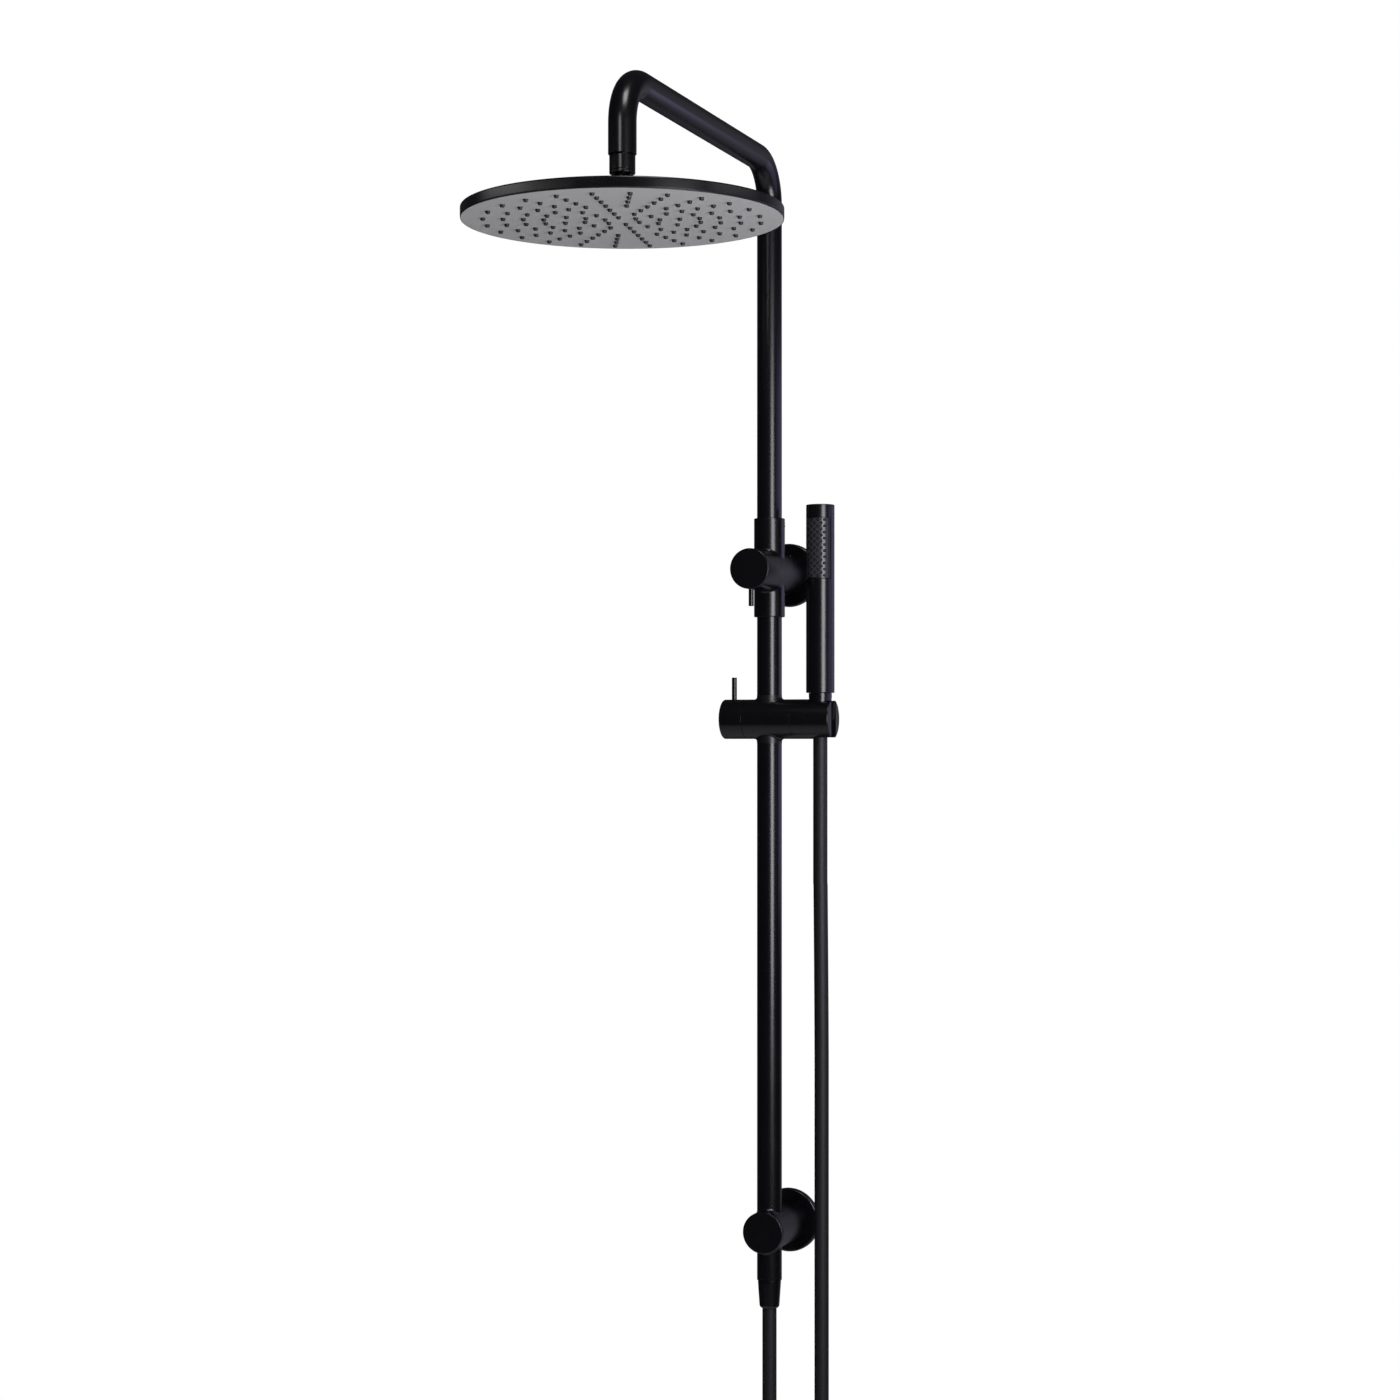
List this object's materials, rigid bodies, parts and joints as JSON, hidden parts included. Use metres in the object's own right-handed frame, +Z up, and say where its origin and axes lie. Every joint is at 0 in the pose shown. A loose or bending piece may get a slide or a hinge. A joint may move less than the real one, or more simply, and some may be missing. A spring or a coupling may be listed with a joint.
{
  "type": "rainfall shower column",
  "caption": "Wall-fed shower column with diverter, swivelling gooseneck arm, ball-jointed round rain head, sliding tilting holder, stick handset and hose.",
  "frame": {"origin": "middle of the upper wall flange's footprint, on the wall's face", "axes": "+Z up, +Y into the wall, -Y into the room, +X to the right for someone facing the wall"},
  "size_m": [0.305, 0.6625, 1.6367],
  "materials": {
    "satin_black": "satin black powder coat on brass and steel",
    "face_grey": "fine matte grey coat",
    "silicone": "moulded dark silicone",
    "rubber": "moulded rubber",
    "hose_pvc": "smooth satin black PVC",
    "black_plastic": "moulded black acetal",
    "white_plastic": "moulded white acetal",
    "brass": "turned brass",
    "steel": "stainless steel"
  },
  "bodies": {
    "root": {"upper_wall_flange": "satin_black", "wall_inlet_union": "brass", "inlet_washer": "rubber", "diverter_body": "satin_black", "diverter_cartridge": "white_plastic", "cartridge_nut": "brass", "sleeve_grub_screws": "steel", "rail": "satin_black", "rail_top_spigot": "brass", "rail_o_rings": "rubber", "rail_outlet_nipple": "brass", "lower_bracket_body": "satin_black", "lower_bracket_cap": "satin_black", "rail_clamp_screw": "steel", "lower_wall_flange": "satin_black", "lower_fixing_plate": "steel", "bracket_grub_screw": "steel", "lower_hose_nut": "satin_black", "lower_hose_washer": "rubber", "shower_hose": "hose_pvc"},
    "arm": {"gooseneck_arm": "satin_black", "arm_spigot": "brass", "arm_o_rings": "rubber", "arm_outlet_nipple": "brass", "ball_seal_washer": "rubber"},
    "nut": {"swivel_nut": "satin_black"},
    "head": {"swivel_ball": "satin_black", "hub_washer": "rubber", "head_shell": "satin_black", "head_face_plate": "face_grey", "nozzle_mat": "silicone"},
    "diverter": {"diverter_knob": "satin_black", "diverter_spindle": "brass", "diverter_lever": "satin_black"},
    "carriage": {"slider_bushings": "black_plastic"},
    "slider": {"slider_body": "satin_black", "slider_clamp_shoe": "brass", "holder_pivot_bolt": "steel", "holder_friction_washer": "white_plastic"},
    "lock": {"slider_knob": "satin_black", "slider_lever": "satin_black", "slider_clamp_screw": "brass"},
    "holder": {"holder_barrel": "satin_black"},
    "hose_end": {"handset_hose_nut": "satin_black", "handset_washer": "rubber"},
    "handset": {"handset_body": "satin_black", "handset_inlet": "brass", "handset_check_valve": "white_plastic", "handset_top_cap": "satin_black", "spray_frame": "black_plastic", "spray_nozzle_pad": "silicone"}
  },
  "joints": [
    {"name": "arm_swivel", "type": "hinge", "parent": "root", "child": "arm", "pos_m": [0, -0.07, 0.03], "axis": [0, 0, 1], "range_deg": [-45, 45]},
    {"name": "head_spin", "type": "hinge", "parent": "arm", "child": "nut", "pos_m": [0, -0.498, 0.3555], "axis": [0, 0, 1], "continuous": true},
    {"name": "head_tilt", "type": "hinge", "parent": "nut", "child": "head", "pos_m": [0, -0.498, 0.3555], "axis": [1, 0, 0], "range_deg": [-10, 10]},
    {"name": "diverter_turn", "type": "hinge", "parent": "root", "child": "diverter", "pos_m": [0, -0.1, 0], "axis": [0, 1, 0], "range_deg": [-90, 90]},
    {"name": "slider_slide", "type": "slide", "parent": "root", "child": "carriage", "axis": [0, 0, 1], "range_m": [-0.48, 0.08], "deforming": ["shower_hose"]},
    {"name": "slider_swivel", "type": "hinge", "parent": "carriage", "child": "slider", "pos_m": [0, -0.07, -0.16], "axis": [0, 0, 1], "range_deg": [-20, 20]},
    {"name": "slider_lock_turn", "type": "hinge", "parent": "slider", "child": "lock", "pos_m": [-0.03, -0.07, -0.16], "axis": [1, 0, 0], "range_deg": [0, 90]},
    {"name": "holder_tilt", "type": "hinge", "parent": "slider", "child": "holder", "pos_m": [0.05, -0.07, -0.16], "axis": [1, 0, 0], "range_deg": [-5, 60]},
    {"name": "handset_lift", "type": "slide", "parent": "holder", "child": "hose_end", "axis": [0, 0, 1], "range_m": [0, 0.06]},
    {"name": "handset_spin", "type": "hinge", "parent": "hose_end", "child": "handset", "pos_m": [0.058, -0.07, -0.12], "axis": [0, 0, 1], "continuous": true}
  ]
}
